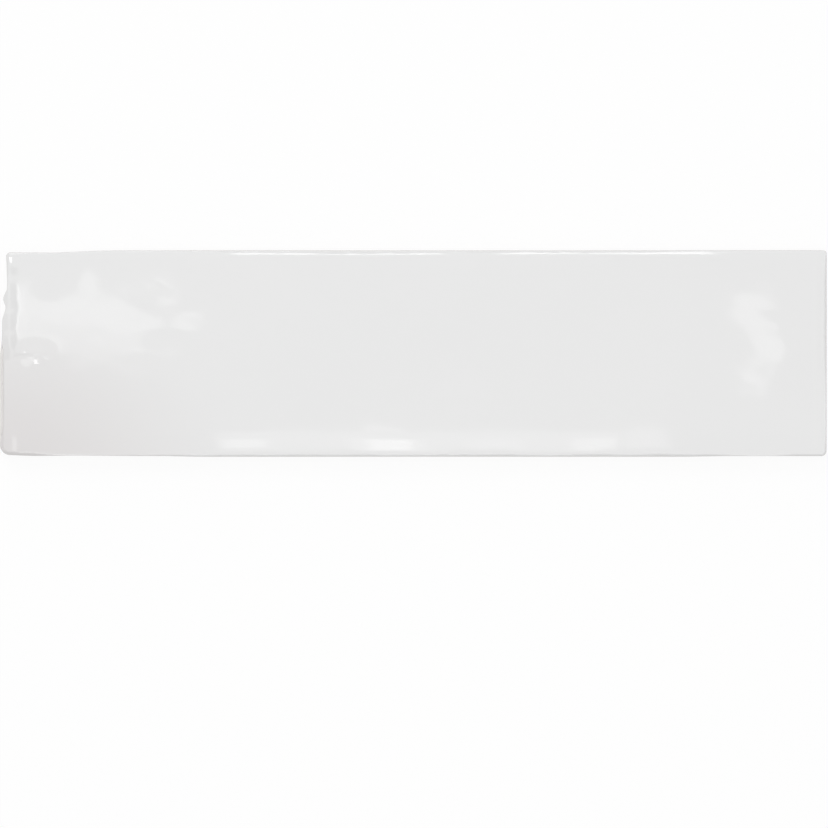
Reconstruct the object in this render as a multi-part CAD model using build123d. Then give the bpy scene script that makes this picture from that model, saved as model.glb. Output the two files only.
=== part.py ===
from build123d import *
import os
from math import exp

# One glazed ceramic wall tile, lying on its back with the glazed face up.
# X runs along the tile, from its left end to its right end as it is seen on a wall.
# Y runs from its lower edge to its upper edge, and Z up through its thickness.
# The origin is the middle of the flat plane that the back's rim and ribs share.
# All sizes are in millimetres.

# Overall sizes
length = 300.0
width = 75.0
thickness = 8.5

# Radius of each corner of the outline, seen from the face
lower_left_radius = 2.4
lower_right_radius = 1.9
upper_right_radius = 1.3
upper_left_radius = 1.6

# Sides: the glaze rolls over the face's edge, an upright land lies under it, and from the land's foot
# the sides draw in towards the back
face_edge_radius = 1.2
land_foot = 5.0
side_draft = 0.4
back_chamfer = 0.6

# How far each side's edge stands outside the straight nominal line, which a hand-made tile only follows loosely.
# Each entry is a share of the way along the side and the distance outwards.
lower_edge_waves = [
    (0.04, -0.26),
    (0.09, -0.40),
    (0.15, -0.24),
    (0.20, -0.19),
    (0.24, 0.04),
    (0.29, 0.06),
    (0.50, 0.04),
    (0.78, 0.06),
    (0.83, 0.04),
    (0.88, -0.18),
]
upper_edge_waves = [
    (0.04, -0.84),
    (0.073, -0.80),
    (0.112, -0.24),
    (0.15, -0.04),
    (0.19, 0.00),
    (0.30, 0.02),
    (0.60, -0.02),
    (0.90, 0.02),
]
right_end_waves = [(0.30, 0.20), (0.65, 0.24)]
left_end_waves = [
    (0.08, 0.08),
    (0.17, 0.00),
    (0.42, 0.00),
    (0.50, -0.02),
    (0.58, -0.68),
    (0.66, -0.80),
    (0.722, -2.00),
    (0.766, -1.15),
    (0.815, -2.50),
    (0.90, -2.45),
]

# Where each corner of the outline lies, as the distance that its two sides stand outside the nominal lines
lower_left_corner = (0.08, -0.60)
lower_right_corner = (0.20, -0.18)
upper_right_corner = (0.25, 0.02)
upper_left_corner = (-2.15, -0.74)

# The face falls away towards each side, like the top of a cushion: the width and depth of that fall
lower_fall = (10.5, 0.34)
upper_fall = (4.0, 0.20)
left_fall = (6.6, 0.40)
right_fall = (4.0, 0.15)

# Swells and hollows of the glazed face: distance from the left end and from the lower edge,
# half-width along X and along Y, and height
face_swells = [
    (9.0, 68.0, 4.0, 8.0, 0.020),
    (18.0, 66.0, 6.0, 7.0, -0.022),
    (32.0, 70.0, 6.0, 8.0, 0.050),
    (47.0, 60.0, 9.0, 6.0, -0.010),
    (58.0, 50.0, 12.0, 5.0, 0.008),
    (22.0, 31.0, 8.0, 7.0, -0.020),
    (60.0, 33.0, 12.0, 5.0, -0.014),
    (20.0, 14.0, 22.0, 12.0, -0.060),
    (70.0, 20.0, 30.0, 12.0, -0.020),
    (120.0, 52.0, 34.0, 18.0, 0.030),
    (165.0, 24.0, 38.0, 16.0, -0.020),
    (215.0, 48.0, 34.0, 17.0, 0.020),
    (293.0, 38.0, 13.0, 11.0, 0.130),
]

# A lump under the glaze near the left end, in the same terms
face_lump = (13.0, 36.9, 6.0, 3.2, 0.36)

# Keying pattern of the back: square pockets pressed between ribs, inside a plain rim
rib_width = 2.0
pocket_size = 13.0
pocket_depth = 0.8
pocket_draft_angle = 25.0
least_rim = 7.0

# Spacing of the points that carry the face's surface, how far it runs past the outline,
# and how near to its points it passes
face_point_spacing = 2.0
face_overrun = 3.0
face_tolerance = 0.002


def side_points(start, end, outwards, waves, inset):
    """Points of one side's edge, from its start corner to its end corner, without the corners."""
    points = []
    for share, offset in waves:
        along = start + (end - start) * share
        points.append(along + outwards * (offset - inset))
    return points


def outline(inset):
    """The tile's outline, as a face, with every side moved inwards by the inset."""
    left, right = -length / 2, length / 2
    lower, upper = -width / 2, width / 2

    def corner(nominal_x, nominal_y, place, towards_x, towards_y):
        """A corner's sharp point: its two distances outwards, less the inset."""
        return Vector(
            nominal_x + towards_x * (place[0] - inset),
            nominal_y + towards_y * (place[1] - inset),
        )

    lower_left = corner(left, lower, lower_left_corner, -1, -1)
    lower_right = corner(right, lower, lower_right_corner, 1, -1)
    upper_right = corner(right, upper, upper_right_corner, 1, 1)
    upper_left = corner(left, upper, upper_left_corner, -1, 1)

    along_x, along_y = Vector(1, 0), Vector(0, 1)
    lower_start = lower_left + along_x * lower_left_radius
    lower_end = lower_right - along_x * lower_right_radius
    right_start = lower_right + along_y * lower_right_radius
    right_end = upper_right - along_y * upper_right_radius
    upper_start = upper_left + along_x * upper_left_radius
    upper_end = upper_right - along_x * upper_right_radius
    left_start = lower_left + along_y * lower_left_radius
    left_end = upper_left - along_y * upper_left_radius

    nominal = [Vector(left, lower), Vector(right, lower), Vector(right, upper), Vector(left, upper)]
    lower_waves = side_points(nominal[0], nominal[1], -along_y, lower_edge_waves, inset)
    upper_waves = side_points(nominal[3], nominal[2], along_y, upper_edge_waves, inset)
    right_waves = side_points(nominal[1], nominal[2], along_x, right_end_waves, inset)
    left_waves = side_points(nominal[0], nominal[3], -along_x, left_end_waves, inset)

    edges = [
        Spline(lower_start, *lower_waves, lower_end, tangents=[along_x, along_x]),
        TangentArc(lower_end, right_start, tangent=along_x),
        Spline(right_start, *right_waves, right_end, tangents=[along_y, along_y]),
        TangentArc(right_end, upper_end, tangent=along_y),
        Spline(upper_start, *upper_waves, upper_end, tangents=[along_x, along_x]),
        TangentArc(left_end, upper_start, tangent=along_y),
        Spline(left_start, *left_waves, left_end, tangents=[along_y, along_y]),
        TangentArc(left_start, lower_start, tangent=-along_y),
    ]
    return make_face(edges)


def swell(x, y, place):
    """Height of one swell or hollow at a point of the face."""
    from_left, from_lower, half_x, half_y, height = place
    across_x = (x + length / 2 - from_left) / half_x
    across_y = (y + width / 2 - from_lower) / half_y
    return height * exp(-(across_x**2 + across_y**2))


def fall(distance, band):
    """How far the face has dropped at a distance inside one side."""
    band_width, depth = band
    return depth * max(0.0, 1 - distance / band_width) ** 2


def face_height(x, y):
    """Height of the face above its nominal plane."""
    height = sum(swell(x, y, place) for place in [*face_swells, face_lump])
    height -= fall(y + width / 2, lower_fall)
    height -= fall(width / 2 - y, upper_fall)
    height -= fall(x + length / 2, left_fall)
    height -= fall(length / 2 - x, right_fall)
    return height


def evenly(low, high, spacing):
    """Values from low to high, no further apart than the spacing."""
    steps = int((high - low) / spacing) + 1
    return [low + (high - low) * i / steps for i in range(steps + 1)]


def face_surface(top):
    """The wavy glazed face, as one smooth surface that runs past the outline on every side."""
    rows = []
    for y in evenly(-width / 2 - face_overrun, width / 2 + face_overrun, face_point_spacing):
        row = []
        for x in evenly(-length / 2 - face_overrun, length / 2 + face_overrun, face_point_spacing):
            row.append(Vector(x, y, top + face_height(x, y)))
        rows.append(row)
    return Face.make_surface_from_array_of_points(rows, tol=face_tolerance, min_deg=3, max_deg=3)


def blank(height):
    """The block under the face: an upright land on drafted sides, which stand on a chamfered back."""
    back = outline(side_draft + back_chamfer)
    above_chamfer = Pos(0, 0, back_chamfer) * outline(side_draft)
    widest = outline(0)
    return loft([back, above_chamfer, Pos(0, 0, land_foot) * widest, Pos(0, 0, height) * widest], ruled=True)


def pocket_count(span):
    """How many pockets fit along a span between two rims."""
    return int((span - 2 * least_rim + rib_width) / (pocket_size + rib_width))


def back_pockets():
    """The pressed pockets of the back, as solids to cut away, narrower inside than at the plane of the ribs."""
    pitch = pocket_size + rib_width
    mouth = Rectangle(pocket_size, pocket_size)
    pocket = extrude(mouth, amount=pocket_depth, taper=pocket_draft_angle)
    places = GridLocations(pitch, pitch, pocket_count(length), pocket_count(width))
    return [place * pocket for place in places]


def wall_tile():
    """The whole tile, which is pressed and fired as one piece."""
    close = face_point_spacing / 4
    highest = max(
        face_height(x, y)
        for x in evenly(-length / 2, length / 2, close)
        for y in evenly(-width / 2, width / 2, close)
    )
    top = thickness - highest
    above = extrude(face_surface(top), amount=thickness, dir=(0, 0, 1))
    tile = blank(thickness + face_edge_radius) - above
    face = tile.faces().sort_by(Axis.Z)[-1]
    tile = fillet(face.edges(), face_edge_radius)
    tile -= back_pockets()
    middle = tile.bounding_box().center()
    return Pos(-middle.X, -middle.Y, 0) * tile


os.makedirs("parts", exist_ok=True)
export_step(wall_tile(), "parts/wall_tile.step")
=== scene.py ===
import math

import bmesh
import bpy
import numpy as np
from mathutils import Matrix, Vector, noise


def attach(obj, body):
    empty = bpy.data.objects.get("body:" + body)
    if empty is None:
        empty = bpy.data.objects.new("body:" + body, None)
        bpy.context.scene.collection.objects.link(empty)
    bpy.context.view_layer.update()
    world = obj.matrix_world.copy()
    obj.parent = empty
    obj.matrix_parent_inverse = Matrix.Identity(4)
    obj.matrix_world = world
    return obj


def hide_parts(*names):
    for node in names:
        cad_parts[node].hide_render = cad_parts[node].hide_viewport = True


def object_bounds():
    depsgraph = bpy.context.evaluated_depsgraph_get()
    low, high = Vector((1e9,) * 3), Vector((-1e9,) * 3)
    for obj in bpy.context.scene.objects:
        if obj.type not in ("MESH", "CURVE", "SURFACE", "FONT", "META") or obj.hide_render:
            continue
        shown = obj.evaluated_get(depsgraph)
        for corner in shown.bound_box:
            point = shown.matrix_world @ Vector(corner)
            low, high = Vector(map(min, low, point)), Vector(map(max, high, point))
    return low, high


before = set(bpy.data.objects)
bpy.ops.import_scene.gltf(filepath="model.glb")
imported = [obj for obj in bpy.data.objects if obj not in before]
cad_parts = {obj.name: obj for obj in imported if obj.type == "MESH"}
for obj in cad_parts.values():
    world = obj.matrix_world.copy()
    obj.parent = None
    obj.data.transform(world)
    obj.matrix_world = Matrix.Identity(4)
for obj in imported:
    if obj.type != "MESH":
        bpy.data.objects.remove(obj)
cad_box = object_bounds()

# One glazed ceramic wall tile on a pale floor, seen from straight above.
# X runs along the tile, Y across it and Z up out of the glazed face. All sizes are in metres.
mm = 0.001


# Sizes of the tile. Its solid has the same ones, but for the few differences that are named here.

length = 300.0 * mm
width = 75.0 * mm
thickness = cad_box[1].z - cad_box[0].z

# Corners of the outline: how far a corner's two sides stand outside the nominal lines, and its radius.
# The solid's lower left corner has a radius of 2.4 mm.
lower_left = (0.08 * mm, -0.60 * mm, 3.6 * mm)
lower_right = (0.20 * mm, -0.18 * mm, 1.9 * mm)
upper_right = (0.25 * mm, 0.02 * mm, 1.3 * mm)
upper_left = (-2.15 * mm, -0.74 * mm, 1.6 * mm)

# How far each side stands outside its nominal line: share of the way along it, and millimetres outwards
lower_edge_waves = [
    (0.04, -0.26),
    (0.09, -0.40),
    (0.15, -0.24),
    (0.20, -0.19),
    (0.24, 0.04),
    (0.29, 0.06),
    (0.50, 0.04),
    (0.78, 0.06),
    (0.83, 0.04),
    (0.88, -0.18),
]
upper_edge_waves = [
    (0.04, -0.84),
    (0.073, -0.80),
    (0.112, -0.24),
    (0.15, -0.04),
    (0.19, 0.00),
    (0.30, 0.02),
    (0.60, -0.02),
    (0.90, 0.02),
]
right_end_waves = [(0.30, 0.20), (0.65, 0.24)]
left_end_waves = [
    (0.08, 0.08),
    (0.17, 0.00),
    (0.42, 0.00),
    (0.50, -0.02),
    (0.58, -0.68),
    (0.66, -0.80),
    (0.722, -2.00),
    (0.766, -1.15),
    (0.815, -2.50),
    (0.90, -2.45),
]

side_draft = 0.4 * mm
back_chamfer = 0.6 * mm

# The face falls away towards each side: width and depth of that fall
lower_fall = (10.5 * mm, 0.34 * mm)
upper_fall = (4.0 * mm, 0.20 * mm)
left_fall = (6.6 * mm, 0.40 * mm)
right_fall = (4.0 * mm, 0.15 * mm)

# Swells and hollows of the face, in millimetres: distance from the left end and from the lower edge,
# half-width along X and along Y, and height. The solid's last one is (293.0, 38.0, 13.0, 11.0, 0.130).
face_swells = [
    (9.0, 68.0, 4.0, 8.0, 0.020),
    (18.0, 66.0, 6.0, 7.0, -0.022),
    (32.0, 70.0, 6.0, 8.0, 0.050),
    (47.0, 60.0, 9.0, 6.0, -0.010),
    (58.0, 50.0, 12.0, 5.0, 0.008),
    (22.0, 31.0, 8.0, 7.0, -0.020),
    (60.0, 33.0, 12.0, 5.0, -0.014),
    (20.0, 14.0, 22.0, 12.0, -0.060),
    (70.0, 20.0, 30.0, 12.0, -0.020),
    (120.0, 52.0, 34.0, 18.0, 0.030),
    (165.0, 24.0, 38.0, 16.0, -0.020),
    (215.0, 48.0, 34.0, 17.0, 0.020),
    (289.0, 38.5, 17.0, 8.5, 0.124),
]

# A lump under the glaze near the left end, and a bead of glaze in the upper left corner, in the same terms.
# The solid doesn't have the bead.
face_lump = (13.0, 36.9, 6.0, 3.2, 0.36)
corner_bead = (4.1, 69.6, 1.3, 1.6, 0.03)

# Keying pattern of the back. The corners of the solid's pockets are sharp.
rib_width = 2.0 * mm
pocket_size = 13.0 * mm
pocket_depth = 0.8 * mm
pocket_wall = pocket_depth * math.tan(math.radians(25.0))
pocket_corner = 1.5 * mm
pocket_counts = (19, 4)


# Sizes that only the finished surface has

# Radius of the glaze's rolled edge, in millimetres, by the share of the way along each side
lower_edge_roll = [
    (0.0, 1.4),
    (0.03, 1.2),
    (0.06, 0.4),
    (0.12, 0.2),
    (0.20, 0.5),
    (0.29, 0.8),
    (0.47, 0.8),
    (0.54, 0.9),
    (0.60, 1.0),
    (0.66, 0.7),
    (0.72, 1.0),
    (0.84, 0.9),
    (0.92, 0.15),
    (0.97, 0.7),
    (1.0, 0.7),
]
right_end_roll = [(0.0, 0.7), (0.10, 0.4), (0.30, 0.4), (0.50, 0.8), (0.85, 0.8), (1.0, 0.4)]
upper_edge_roll = [
    (0.0, 0.8),
    (0.04, 0.4),
    (0.15, 0.3),
    (0.30, 1.0),
    (0.41, 1.2),
    (0.57, 0.9),
    (0.73, 0.8),
    (0.85, 0.4),
    (1.0, 0.4),
]
left_end_roll = [(0.0, 1.4), (0.08, 1.0), (0.50, 0.6), (0.62, 0.3), (0.85, 0.3), (0.94, 0.7), (1.0, 0.8)]
least_roll = 0.15 * mm

# The rough ledge of body that stands out under the glaze along part of the left end
ledge_roll_radius = 0.35 * mm
ledge_width = 1.1 * mm
ledge_share = (0.06, 0.56)

# Where the glaze stops on the sides, above the back, and how far it stands out from the bare body there
glaze_line = 3.4 * mm
glaze_line_wander = 1.1 * mm
glaze_thickness = 0.12 * mm

# The bare body's coarse skin: the size and depth of its marks, and how much deeper they are in the pockets
body_grain = 2.2 * mm
body_relief = 0.10 * mm
pocket_unevenness = 1.5

# Spacing of the mesh's lines: on the face, and closer in zones along its sides, the widest at the left end
face_spacing = 0.8 * mm
fine_spacing = 0.4 * mm
corner_zone = 4.5 * mm
left_zone = 14.0 * mm


# Shape of the face

def smooth(t):
    """A value that eases from 0 to 1."""
    t = np.clip(t, 0.0, 1.0)
    return t * t * (3 - 2 * t)


def swell(x, y, place):
    """Height of one swell, hollow or lump."""
    from_left, from_lower, half_x, half_y, height = (value * mm for value in place)
    across_x = (x + length / 2 - from_left) / half_x
    across_y = (y + width / 2 - from_lower) / half_y
    return height * np.exp(-(across_x**2 + across_y**2))


def fall(distance, band):
    """How far the face has dropped at a distance inside one side."""
    band_width, depth = band
    return depth * np.maximum(0.0, 1 - distance / band_width) ** 2


def brush_waves(x, y):
    """Shallow waves that the glaze keeps from its brush, mostly along the tile."""
    chance = np.random.RandomState(11)
    height = 0.0
    for step in range(9):
        wavelength = 6.0 * mm * 1.25**step
        steepness = 0.0007
        angle = math.pi / 2 + chance.uniform(-0.7, 0.7)
        phase = chance.uniform(0, 2 * math.pi)
        turn = 2 * math.pi / wavelength
        wave = np.sin(turn * (x * math.cos(angle) + y * math.sin(angle)) + phase)
        height += steepness / turn * wave
    return height


def face_height(x, y):
    """Height of the glazed face above its nominal plane."""
    height = brush_waves(x, y)
    for place in [*face_swells, face_lump, corner_bead]:
        height += swell(x, y, place)
    long_wave = 0.06 * np.sin(y * 2 * math.pi / (14.0 * mm) + 0.4)
    short_wave = 0.04 * np.sin(y * 2 * math.pi / (5.5 * mm) + 1)
    uneven = 1 + long_wave + short_wave
    height -= fall(x + length / 2, (left_fall[0] * uneven, left_fall[1]))
    height -= fall(length / 2 - x, right_fall)
    height -= fall(y + width / 2, lower_fall)
    height -= fall(width / 2 - y, upper_fall)
    return height


# Outline

def through(points, share):
    """A smooth line through points, level at both ends."""
    at = np.array([p[0] for p in points])
    value = np.array([p[1] for p in points])
    slope = np.zeros_like(value)
    slope[1:-1] = (value[2:] - value[:-2]) / (at[2:] - at[:-2])
    i = np.clip(np.searchsorted(at, share, side="right") - 1, 0, len(at) - 2)
    step = at[i + 1] - at[i]
    t = (share - at[i]) / step
    rise = value[i] * (1 + 2 * t) * (1 - t) ** 2 + value[i + 1] * t * t * (3 - 2 * t)
    return rise + step * (slope[i] * t * (1 - t) ** 2 + slope[i + 1] * t * t * (t - 1))


def round_corner(distance, radius):
    """Shift of a side's point along the side and inwards, where a round replaces the sharp corner."""
    angle = np.clip(1 - distance / radius, 0, 1) * math.pi / 4
    along = np.where(distance < radius, radius * (1 - np.sin(angle)) - distance, 0.0)
    return along, radius * (1 - np.cos(angle))


def side_line(share, waves, start, end, nominal, half, inset, start_radius, end_radius):
    """Places along one side: the coordinate along it, and the distance outwards from the tile's middle."""
    first = -half - start[0] + inset
    last = half + end[0] - inset
    along = first + (last - first) * share
    points = [(0.0, start[1] / mm), *waves, (1.0, end[1] / mm)]
    out = nominal + through(points, (along + half) / (2 * half)) * mm - inset
    least = 0.1 * mm
    for distance, radius, towards in [(along - first, start_radius, 1), (last - along, end_radius, -1)]:
        shift, inwards = round_corner(distance, np.maximum(radius - inset, least))
        along = along + towards * shift
        out = out - inwards
    return along, out


def outline(columns, rows, inset):
    """The outline, moved inwards by the inset at each of its points, as one closed loop.
    It starts at the lower left corner and turns left all the way round."""
    across, up = len(columns) - 1, len(rows) - 1
    if np.ndim(inset) == 0:
        inset = np.full(2 * (across + up), inset)
    lower_inset = inset[:across]
    right_inset = inset[across:across + up]
    upper_inset = inset[across + up:2 * across + up]
    left_inset = inset[2 * across + up:]

    def swap(corner):
        return corner[1], corner[0]

    x, out = side_line(
        columns[:-1], lower_edge_waves, lower_left, lower_right,
        width / 2, length / 2, lower_inset, lower_left[2], lower_right[2],
    )
    lower = np.stack([x, -out], 1)
    y, out = side_line(
        rows[:-1], right_end_waves, swap(lower_right), swap(upper_right),
        length / 2, width / 2, right_inset, lower_right[2], upper_right[2],
    )
    right = np.stack([out, y], 1)
    x, out = side_line(
        columns[:0:-1], upper_edge_waves, upper_left, upper_right,
        width / 2, length / 2, upper_inset, upper_left[2], upper_right[2],
    )
    upper = np.stack([x, out], 1)
    y, out = side_line(
        rows[:0:-1], left_end_waves, swap(lower_left), swap(upper_left),
        length / 2, width / 2, left_inset, lower_left[2], upper_left[2],
    )
    left = np.stack([-out, y], 1)
    return np.concatenate([lower, right, upper, left])


def graded(total, start_zone, end_zone):
    """Shares from 0 to 1 along a side, closer together in a zone at each end."""
    places = [0.0]
    while places[-1] < total:
        near_end = places[-1] < start_zone or places[-1] > total - end_zone
        places.append(places[-1] + (fine_spacing if near_end else face_spacing))
    return np.array(places) / places[-1]


# Mesh of the tile

class Skin:
    """Vertices and faces of one closed surface, as they are added."""

    def __init__(self):
        self.points = []
        self.cover = []
        self.pressed = []
        self.faces = []
        self.bare = []

    def add_points(self, xyz, cover, pressed=0.0):
        """Adds points with their shares of glaze cover and of pocket depth, and returns their numbers."""
        first = len(self.points)
        self.points.extend(map(tuple, xyz))
        self.cover.extend(np.broadcast_to(cover, len(xyz)))
        self.pressed.extend(np.broadcast_to(pressed, len(xyz)))
        return np.arange(first, first + len(xyz))

    def add_faces(self, faces, bare):
        self.faces.extend(faces)
        self.bare.extend([bare] * len(faces))

    def add_band(self, inner, outer, bare):
        """Quads between two loops that have as many points."""
        after = np.roll(np.arange(len(inner)), -1)
        quads = [(inner[i], outer[i], outer[j], inner[j]) for i, j in enumerate(after)]
        self.add_faces(quads, bare)

    def add_grid(self, numbers, bare):
        """Quads of a rectangular grid of point numbers, by row and column."""
        a, b = numbers[:-1, :-1].ravel(), numbers[:-1, 1:].ravel()
        c, d = numbers[1:, 1:].ravel(), numbers[1:, :-1].ravel()
        self.add_faces(list(zip(a, b, c, d)), bare)

    def add_zip(self, one, other, bare):
        """Triangles between two runs of points that have different counts."""
        i = j = 0
        while i < len(one) - 1 or j < len(other) - 1:
            step_one = j == len(other) - 1 or (i + 1) / (len(one) - 1) <= (j + 1) / (len(other) - 1)
            if i == len(one) - 1:
                step_one = False
            if step_one:
                self.add_faces([(one[i], one[i + 1], other[j])], bare)
                i += 1
            else:
                self.add_faces([(one[i], other[j + 1], other[j])], bare)
                j += 1


def grid_loop(numbers):
    """The border of a grid of point numbers, as a loop in the outline's order."""
    return np.concatenate([numbers[0, :-1], numbers[:-1, -1], numbers[-1, :0:-1], numbers[:0:-1, 0]])


def rough(points, size, height, seed):
    """Uneven heights over points, with lumps of about the given size."""
    shift = Vector((seed, 2 * seed, 3 * seed))
    return height * np.array([noise.fractal(Vector(p) / size + shift, 0.8, 2.0, 3) for p in points])


def torn(x, y, z):
    """How far the bare body's coarse skin is worn in at each point, as pressed and fired clay is."""
    return np.abs(rough(np.column_stack([x, y, z]), body_grain, body_relief, 9.0))


def fill_face(border, columns, rows):
    """Grid of places whose border is the given loop."""
    across, up = len(columns) - 1, len(rows) - 1
    lower = border[:across + 1]
    right = border[across:across + up + 1]
    upper = border[across + up:2 * across + up + 1][::-1]
    left = np.concatenate([border[2 * across + up:], border[:1]])[::-1]
    u, v = columns[None, :, None], rows[:, None, None]
    flat = (1 - v) * lower[None] + v * upper[None] + (1 - u) * left[:, None] + u * right[:, None]
    corners = (1 - u) * (1 - v) * lower[0] + u * (1 - v) * lower[-1]
    corners = corners + (1 - u) * v * upper[0] + u * v * upper[-1]
    return flat - corners


def edge_profile(ledge, roll):
    """Insets and drops of the rings round the face, from the rolled edge to the ledge by the ledge's share,
    and the number of steps in the roll."""
    steps = 7
    rolled, ledged = [], []
    for step in range(steps + 1):
        angle = math.pi / 2 * step / steps
        rolled.append((roll * (1 - math.sin(angle)), roll * (1 - math.cos(angle))))
        ledge_inset = ledge_width + ledge_roll_radius * (1 - math.sin(angle))
        ledged.append((ledge_inset, ledge_roll_radius * (1 - math.cos(angle))))
    for inset, below in [(0.00, 0.2), (0.01, 0.4), (0.02, 0.6), (0.03, 0.8), (0.045, 1.0), (0.06, 1.3)]:
        rolled.append((inset * mm, roll + below * mm))
    for inset, drop in [(1.09, 0.62), (0.95, 0.60), (0.70, 0.46), (0.25, 0.50), (0.06, 0.75), (0.02, 1.50)]:
        ledged.append((inset * mm, drop * mm))
    return [
        (a[0] + (b[0] - a[0]) * ledge, a[1] + (b[1] - a[1]) * ledge)
        for a, b in zip(rolled, ledged)
    ], steps


def back_lines(count):
    """Places of the back grid's lines along one axis, closest at the walls of the pockets."""
    near_wall = [-0.3, -0.1, 0.05, 0.2, 0.4, 0.7, 1.2]
    pitch = pocket_size + rib_width
    first = -(count - 1) / 2 * pitch
    lines = [first - pocket_size / 2 - 1.0 * mm]
    for i in range(count):
        low = first + i * pitch - pocket_size / 2
        high = low + pocket_size
        lines += [low + step * mm for step in near_wall]
        lines += [low + pocket_size * share for share in (0.2, 0.35, 0.5, 0.65, 0.8)]
        lines += [high - step * mm for step in reversed(near_wall)]
    lines.append(-lines[0])
    return np.array(lines)


def pocket_height(x, y):
    """How deep the back's pockets are pressed at a place."""
    pitch = pocket_size + rib_width
    places = []
    for value, count in zip((x, y), pocket_counts):
        first = -(count - 1) / 2 * pitch
        nearest = np.clip(np.round((value - first) / pitch), 0, count - 1)
        places.append(np.abs(value - first - nearest * pitch))
    half = pocket_size / 2 - pocket_corner
    outside = np.hypot(np.maximum(places[0] - half, 0), np.maximum(places[1] - half, 0))
    inside = np.minimum(np.maximum(places[0], places[1]) - half, 0)
    depth_in = pocket_corner - (outside + inside)
    soften = 0.1 * mm
    return pocket_depth * smooth((depth_in + soften) / (pocket_wall + 2 * soften))


def tile_mesh():
    """The whole tile as one closed skin: glazed face, rolled edge, sides and ribbed back."""
    columns = graded(length, left_zone, corner_zone)
    rows = graded(width, corner_zone, corner_zone)
    across, up = len(columns) - 1, len(rows) - 1
    skin = Skin()

    share = np.zeros(2 * (across + up))
    share[2 * across + up:] = rows[:0:-1]
    on_left = np.zeros(len(share))
    on_left[2 * across + up:] = 1
    ends = smooth((share - ledge_share[0]) / 0.05) * smooth((ledge_share[1] - share) / 0.05)
    ledge = on_left * ends
    seen = outline(columns, rows, 0.0)
    seen = np.column_stack([seen, np.zeros(len(seen))])
    roll = mm * np.concatenate([
        through(lower_edge_roll, columns[:-1]),
        through(right_end_roll, rows[:-1]),
        through(upper_edge_roll, columns[:0:-1]),
        through(left_end_roll, rows[:0:-1]),
    ])
    roll = roll * (1 + rough(seen, 12 * mm, 0.4, 7.0))
    profile, roll_steps = edge_profile(ledge, np.maximum(roll, least_roll))

    border = outline(columns, rows, profile[0][0])
    flat = fill_face(border, columns, rows).reshape(-1, 2)
    height = face_height(flat[:, 0], flat[:, 1])
    top = thickness - height.max()
    face = skin.add_points(np.column_stack([flat, top + height]), 1.0).reshape(up + 1, across + 1)
    skin.add_grid(face, False)

    loop = grid_loop(face)
    for number, (inset, drop) in enumerate(profile[1:], 1):
        line = outline(columns, rows, inset)
        height = face_height(line[:, 0], line[:, 1])
        points = np.column_stack([line, top + height - drop])
        # The glaze cover share also tells the glaze material where to paint its darker edge colour.
        cover = np.full(len(line), 1 - 0.6 * smooth(number / roll_steps))
        cover = np.where(number > roll_steps, cover * (1 - ledge), cover)
        ring = skin.add_points(points, cover)
        skin.add_band(loop, ring, False)
        loop = ring

    wander = rough(seen, 9 * mm, glaze_line_wander, 4.0)
    line_height = np.clip(glaze_line + wander, 1.6 * mm, 5.2 * mm)
    for above, sunk, bare in [
        (0.9 * mm, 0.00 * mm, False),
        (0.35 * mm, -0.03 * mm, False),
        (0.12 * mm, 0.00 * mm, False),
        (0.0 * mm, glaze_thickness, True),
        (-0.5 * mm, glaze_thickness, True),
    ]:
        z = line_height + above
        inset = 0.06 * mm + side_draft * (1 - z / thickness) + sunk
        if bare:
            inset = inset + torn(seen[:, 0], seen[:, 1], z)
        line = outline(columns, rows, inset)
        ring = skin.add_points(np.column_stack([line, z]), 0.0 if bare else 0.6)
        skin.add_band(loop, ring, bare)
        loop = ring

    for z, inset, worn in [
        (1.0 * mm, side_draft + 0.05 * mm, 1.0),
        (0.6 * mm, side_draft + 0.15 * mm, 1.5),
        (0.3 * mm, side_draft + 0.35 * mm, 2.0),
        (0.08 * mm, side_draft + back_chamfer, 2.0),
        (0.0, side_draft + back_chamfer + 0.25 * mm, 1.0),
        (0.0, 2.5 * mm, 0.0),
        (0.0, 4.5 * mm, 0.0),
    ]:
        level = np.full(len(seen), z)
        inset = inset + worn * torn(seen[:, 0], seen[:, 1], level)
        line = outline(columns, rows, inset)
        ring = skin.add_points(np.column_stack([line, level]), 0.0)
        skin.add_band(loop, ring, True)
        loop = ring

    lines_x = back_lines(pocket_counts[0])
    lines_y = back_lines(pocket_counts[1])
    x, y = np.meshgrid(lines_x, lines_y)
    x, y = x.ravel(), y.ravel()
    inside = smooth(pocket_height(x, y) / pocket_depth)
    sunk = pocket_height(x, y) - inside * torn(x, y, np.zeros(len(x))) * pocket_unevenness
    back = skin.add_points(np.column_stack([x, y, sunk]), 0.0, inside)
    back = back.reshape(len(lines_y), len(lines_x))
    skin.add_grid(back, True)

    inner = grid_loop(back)
    inner_across, inner_up = len(lines_x) - 1, len(lines_y) - 1
    outer_turns = np.cumsum([0, across, up, across, up])
    inner_turns = np.cumsum([0, inner_across, inner_up, inner_across, inner_up])
    for side in range(4):
        outer_run = loop[np.arange(outer_turns[side], outer_turns[side + 1] + 1) % len(loop)]
        inner_run = inner[np.arange(inner_turns[side], inner_turns[side + 1] + 1) % len(inner)]
        skin.add_zip(outer_run, inner_run, True)
    return skin


def settle(skin):
    """Points of the skin, moved so that the tile's middle is the frame's, and kept inside the solid's box."""
    points = np.array(skin.points)
    low, high = points.min(0), points.max(0)
    points[:, :2] -= (low + high)[:2] / 2
    reach = np.array(cad_box[1]) - np.array(cad_box[0])
    points[:, :2] *= np.minimum(1.0, reach[:2] / (high - low)[:2])
    points[:, :2] += (np.array(cad_box[0]) + np.array(cad_box[1]))[:2] / 2
    return points


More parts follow.
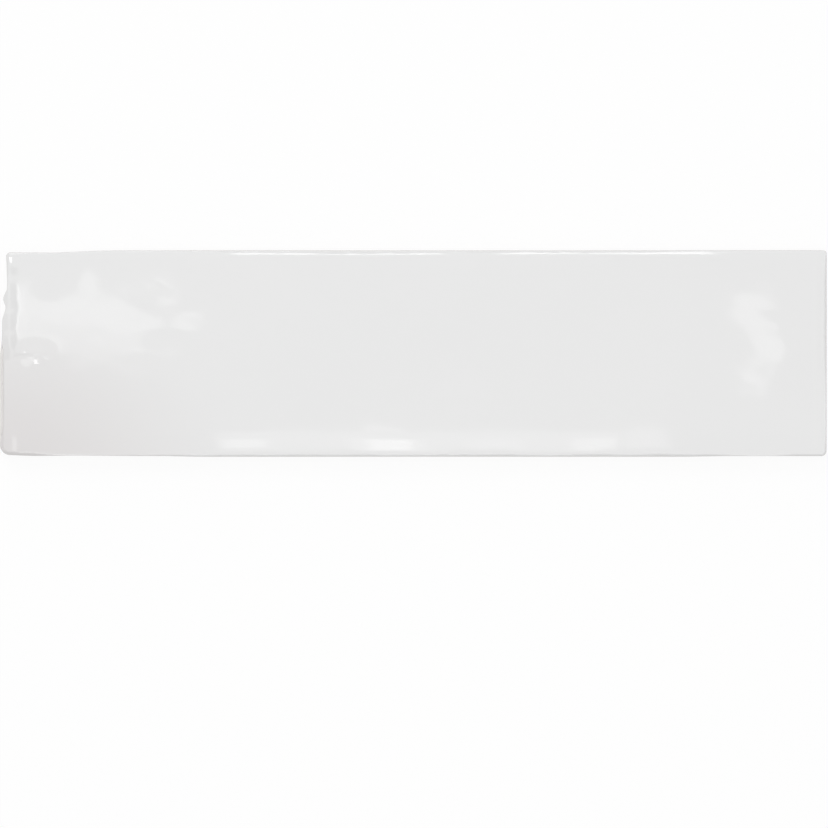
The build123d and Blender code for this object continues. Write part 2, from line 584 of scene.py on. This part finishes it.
def make_tile(glaze, body):
    """The tile's object, with its two materials."""
    skin = tile_mesh()
    mesh = bpy.data.meshes.new("glazed_tile")
    mesh.from_pydata(settle(skin).tolist(), [], [tuple(int(n) for n in face) for face in skin.faces])
    mesh.materials.append(glaze)
    mesh.materials.append(body)
    mesh.polygons.foreach_set("material_index", [int(bare) for bare in skin.bare])
    for name, values in [("glaze_cover", skin.cover), ("pressed", skin.pressed)]:
        attribute = mesh.attributes.new(name, "FLOAT", "POINT")
        attribute.data.foreach_set("value", np.array(values, np.float32))
    shaped = bmesh.new()
    shaped.from_mesh(mesh)
    bmesh.ops.recalc_face_normals(shaped, faces=shaped.faces)
    shaped.to_mesh(mesh)
    shaped.free()
    mesh.shade_smooth()
    tile = bpy.data.objects.new("glazed_tile", mesh)
    bpy.context.scene.collection.objects.link(tile)
    return tile


# Materials

def node_adder(tree):
    """A function that adds nodes to a tree, with their inputs and settings."""

    def add(kind, inputs=None, **settings):
        node = tree.nodes.new("ShaderNode" + kind)
        for key, value in settings.items():
            setattr(node, key, value)
        for key, value in (inputs or {}).items():
            if isinstance(value, bpy.types.NodeSocket):
                tree.links.new(value, node.inputs[key])
            else:
                node.inputs[key].default_value = value
        return node

    return add


def new_material(name):
    """A material with its shader, and a function that adds nodes to it."""
    material = bpy.data.materials.new(name)
    material.use_nodes = True
    tree = material.node_tree
    return material, tree, node_adder(tree), tree.nodes["Principled BSDF"]


def seen_directly(add):
    """1 for rays from the camera, off a glossy surface or through glass, and 0 for those of soft light."""
    ray = add("LightPath").outputs
    straight = add("Math", {0: ray["Is Camera Ray"], 1: ray["Is Glossy Ray"]}, operation="MAXIMUM")
    seen = add("Math", {0: straight.outputs[0], 1: ray["Is Transmission Ray"]}, operation="MAXIMUM")
    return seen.outputs[0]


def specks(add, place, scale, radius):
    """1 inside small round specks that lie here and there, and 0 outside."""
    cells = add("TexVoronoi", {"Vector": place, "Scale": scale})
    spot = add("MapRange", {
        "Value": cells.outputs["Distance"],
        "From Min": 0.5 * radius * scale,
        "From Max": radius * scale,
        "To Min": 1.0,
        "To Max": 0.0,
    }, interpolation_type="SMOOTHSTEP")
    kind = add("SeparateColor", {"Color": cells.outputs["Color"]})
    chosen = add("Math", {0: kind.outputs["Red"], 1: 0.5}, operation="GREATER_THAN")
    return add("Math", {0: spot.outputs["Result"], 1: chosen.outputs[0]}, operation="MULTIPLY").outputs[0]


def glaze_material():
    """White glossy glaze with faint tone changes, warm where it runs thinner on the rolled edge and darker
    there by painted shade, with pinholes and orange peel. Painted shade makes it a little darker and warmer
    towards the lower left corner."""
    material, tree, add, shader = new_material("white_glaze")
    place = add("TexCoord").outputs["Object"]

    tone = add("TexNoise", {"Vector": place, "Scale": 18.0, "Detail": 3.0, "Roughness": 0.5})
    colour = add("Mix", {
        "Factor": tone.outputs["Fac"],
        "A": (0.720, 0.720, 0.720, 1),
        "B": (0.735, 0.735, 0.734, 1),
    }, data_type="RGBA")

    # Painted shade: the glaze colour turns darker and warmer towards the lower left corner, standing in for
    # light that falls off there.
    from_corner = add("VectorMath", {0: place, 1: (-length / 2, -width / 2, 0)}, operation="SUBTRACT")
    reach = (1 / (91 * mm), 1 / (62 * mm), 0)
    shares = add("VectorMath", {0: from_corner.outputs[0], 1: reach}, operation="MULTIPLY")
    away = add("VectorMath", {0: shares.outputs[0]}, operation="LENGTH")
    corner = add("MapRange", {
        "Value": away.outputs["Value"], "From Min": 0.0, "From Max": 1.0, "To Min": 1.0, "To Max": 0.0,
    }, interpolation_type="SMOOTHSTEP")
    colour = add("Mix", {
        "Factor": corner.outputs["Result"],
        "A": colour.outputs["Result"],
        "B": (0.652, 0.634, 0.632, 1),
    }, data_type="RGBA")

    # On the rolled edge the glaze runs thinner and warmer, and its colour there is also darker as painted
    # shade for the edge's dark line.
    cover = add("Attribute", attribute_name="glaze_cover")
    thin_and_shaded_edge = add("MapRange", {
        "Value": cover.outputs["Fac"], "From Min": 0.3, "From Max": 1.0, "To Min": 1.0, "To Max": 0.0,
    }, interpolation_type="SMOOTHSTEP")
    warm = add("Mix", {
        "Factor": thin_and_shaded_edge.outputs["Result"],
        "A": colour.outputs["Result"],
        "B": (0.697, 0.682, 0.667, 1),
    }, data_type="RGBA")
    tree.links.new(warm.outputs["Result"], shader.inputs["Base Color"])

    shader.inputs["Roughness"].default_value = 0.03
    shader.inputs["IOR"].default_value = 1.5

    peel = add("TexNoise", {"Vector": place, "Scale": 420.0, "Detail": 2.0, "Roughness": 0.4})
    orange_peel = add("Bump", {"Height": peel.outputs["Fac"], "Distance": 1e-6, "Strength": 1.0})
    pinholes = add("Bump", {
        "Height": specks(add, place, 160.0, 0.2 * mm),
        "Distance": 3e-5,
        "Strength": 1.0,
        "Normal": orange_peel.outputs["Normal"],
    }, invert=True)
    tree.links.new(pinholes.outputs["Normal"], shader.inputs["Normal"])
    return material


def body_material():
    """Unglazed white-firing body: dull, slightly warm and fine grained, darker in the pressed pockets by
    painted shade, with patches of pale kiln wash and a few dark specks."""
    material, tree, add, shader = new_material("fired_body")
    place = add("TexCoord").outputs["Object"]
    tone = add("TexNoise", {"Vector": place, "Scale": 60.0, "Detail": 6.0, "Roughness": 0.6})
    colour = add("Mix", {
        "Factor": tone.outputs["Fac"],
        "A": (0.66, 0.60, 0.53, 1),
        "B": (0.78, 0.74, 0.68, 1),
    }, data_type="RGBA")

    # Painted shade: the body's colour is darker where the back's pockets are pressed deepest.
    depth = add("Attribute", attribute_name="pressed")
    shade = add("Math", {0: depth.outputs["Fac"], 1: 0.5}, operation="MULTIPLY")
    colour = add("Mix", {
        "Factor": shade.outputs[0],
        "A": colour.outputs["Result"],
        "B": (0.54, 0.48, 0.41, 1),
    }, data_type="RGBA")

    patches = add("TexNoise", {"Vector": place, "Scale": 38.0, "Detail": 5.0, "Roughness": 0.65})
    wash = add("MapRange", {
        "Value": patches.outputs["Fac"], "From Min": 0.52, "From Max": 0.70, "To Min": 0.0, "To Max": 0.6,
    }, interpolation_type="SMOOTHSTEP")
    colour = add("Mix", {
        "Factor": wash.outputs["Result"],
        "A": colour.outputs["Result"],
        "B": (0.84, 0.83, 0.80, 1),
    }, data_type="RGBA")

    colour = add("Mix", {
        "Factor": specks(add, place, 260.0, 0.35 * mm),
        "A": colour.outputs["Result"],
        "B": (0.32, 0.25, 0.19, 1),
    }, data_type="RGBA")
    tree.links.new(colour.outputs["Result"], shader.inputs["Base Color"])
    shader.inputs["Roughness"].default_value = 0.9
    shader.inputs["IOR"].default_value = 1.45
    grain = add("TexNoise", {"Vector": place, "Scale": 2500.0, "Detail": 4.0, "Roughness": 0.6})
    bump = add("Bump", {"Height": grain.outputs["Fac"], "Distance": 6e-5, "Strength": 0.6})
    tree.links.new(bump.outputs["Normal"], shader.inputs["Normal"])
    return material


def floor_material():
    """Pale floor that the camera sees as white, and that still takes the tile's shadow."""
    material, tree, add, shader = new_material("pale_floor")
    tree.nodes.remove(shader)
    paint = add("BsdfDiffuse", {"Color": (0.88, 0.88, 0.88, 1)})
    white = add("Emission", {"Color": (1, 1, 1, 1), "Strength": 1.0})
    share = add("Math", {0: seen_directly(add), 1: 0.91}, operation="MULTIPLY")
    mixed = add("MixShader", {0: share.outputs[0], 1: paint.outputs[0], 2: white.outputs[0]})
    tree.links.new(mixed.outputs["Shader"], tree.nodes["Material Output"].inputs["Surface"])
    return material


# Floor, light and camera

def make_floor():
    """A flat floor, which the white surround meets far away."""
    mesh = bpy.data.meshes.new("floor")
    reach = 20.0
    corners = [(-reach, -reach, 0), (reach, -reach, 0), (reach, reach, 0), (-reach, reach, 0)]
    mesh.from_pydata(corners, [], [(0, 1, 2, 3)])
    mesh.materials.append(floor_material())
    floor = bpy.data.objects.new("floor", mesh)
    bpy.context.scene.collection.objects.link(floor)


def lamp(name, place, size, radiance, aim=None):
    """A rectangular lamp of even radiance. It looks straight down, or at the point that it aims at."""
    light = bpy.data.lights.new(name, "AREA")
    light.shape = "RECTANGLE"
    light.size, light.size_y = size
    light.energy = radiance * math.pi * size[0] * size[1]
    thing = bpy.data.objects.new(name, light)
    thing.location = place
    if aim is not None:
        thing.rotation_mode = "QUATERNION"
        thing.rotation_quaternion = (Vector(place) - Vector(aim)).to_track_quat("Z", "Y")
    thing.visible_camera = False
    bpy.context.scene.collection.objects.link(thing)


def make_lights():
    """A soft studio: a plain surround that is seen as white, a large soft box overhead, key and fill,
    four screens round the floor, and small panes that the glaze mirrors."""
    world = bpy.data.worlds.new("surround")
    world.use_nodes = True
    tree = world.node_tree
    add = node_adder(tree)
    background = tree.nodes["Background"]
    background.inputs["Color"].default_value = (1, 1, 1, 1)
    strength = add("Math", {0: seen_directly(add), 1: 0.45, 2: 0.55}, operation="MULTIPLY_ADD")
    tree.links.new(strength.outputs[0], background.inputs["Strength"])
    bpy.context.scene.world = world

    overhead = 1.2
    lamp("key", (-0.9, 2.0, 2.25), (1.3, 1.3), 4.7, (0, 0, 0))
    lamp("fill", (1.1, -0.9, 1.0), (0.8, 0.8), 0.8, (0, 0, 0))
    screens = [
        ("screen_left", -2.6, -1.2, 1.2),
        ("screen_far", -0.9, 2.8, 1.8),
        ("screen_right", 2.8, 1.0, 1.2),
        ("screen_near", 1.2, -2.7, 0.6),
    ]
    for name, x, y, radiance in screens:
        lamp(name, (x, y, 1.0), (1.7, 0.8), radiance, (0, 0, 0))
    panes = [
        ("soft_box", -240, 450, -450, 450, 1.2),
        ("soft_box_upper_left", -450, -240, 50, 450, 1.2),
        ("soft_box_lower_left", -450, -240, -450, 8, 1.2),
        ("pane_left_streak", -378, -344, 8, 48, 1.3),
        ("pane_left", -222, -151.5, 2, 42, 0.8),
        ("pane_left_end", -151.5, -143, 2, 37, 0.8),
        ("pane_left_bright", -204, -151.5, 21, 42, 0.6),
        ("pane_left_bright_end", -151.5, -143, 21, 37, 0.6),
        ("pane_left_edge", -222, -206, 13, 39, 0.6),
        ("pane_left_rim", -228, -214, 15, 41, 1.6),
        ("pane_left_peak", -187, -165, 42, 44.5, 1.4),
        ("pane_left_tongue", -143, -133, 22, 34, 1.4),
        ("pane_left_upper_spot", -140, -129, 42.5, 46, 1.8),
        ("pane_left_far_spot", -127, -114, 22.5, 29.5, 1.5),
        ("pane_left_lower_spot", -150, -127, 5, 10, 0.8),
        ("pane_glint", -218, -174, -240, -184, 6.0),
        ("pane_glint_tail", -300, -222, -205, -85, 1.6),
        ("pane_corner_glint", -365, -315, 92, 130, 7.0),
        ("pane_right", 171.5, 190.5, -11, 42, 1.4),
        ("pane_right_foot", 180.5, 187, -16, -11, 1.2),
        ("pane_middle_faint", 17, 38, -12, -5, 0.25),
        ("pane_low", -104, 111, -162, -46, 0.8),
        ("pane_low_bulge", -24, -2, -46, -28, 1.1),
        ("pane_low_middle", -34, 8, -158, -88, 0.7),
        ("pane_low_core", -23, 0, -158, -95, 1.7),
        ("pane_low_left", -102, -76, -145, -92, 1.3),
        ("pane_low_faint", 30, 58, -150, -95, 0.5),
        ("pane_low_right", 86, 111, -152, -90, 1.1),
        ("pane_low_end", 114, 134, -150, -36, 0.9),
        ("pane_low_line", 6, 38, -450, -320, 5.0),
        ("pane_high_left", -96, 14, 200, 266, 5.0),
        ("pane_high_right", 46, 160, 210, 276, 4.5),
    ]
    for step, (name, left, right, near, far, radiance) in enumerate(panes):
        place = ((left + right) / 2 * mm, (near + far) / 2 * mm, overhead - 0.001 * step)
        lamp(name, place, ((right - left) * mm, (far - near) * mm), radiance)


def make_camera():
    """Straight above, a little below the tile's middle, through a long lens that takes in the whole tile."""
    frame_width = 300.6 * mm
    eye = (0.28 * mm, -22.0 * mm, 2.5)
    camera = bpy.data.cameras.new("camera")
    camera.sensor_width = 36.0
    camera.lens = camera.sensor_width * (eye[2] - thickness) / frame_width
    camera.clip_end = 200.0
    thing = bpy.data.objects.new("camera", camera)
    thing.location = eye
    bpy.context.scene.collection.objects.link(thing)
    bpy.context.scene.camera = thing


make_camera()
make_lights()
make_floor()
tile = make_tile(glaze_material(), body_material())
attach(tile, "root")
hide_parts("wall_tile")
bpy.context.scene.view_settings.view_transform = "Standard"
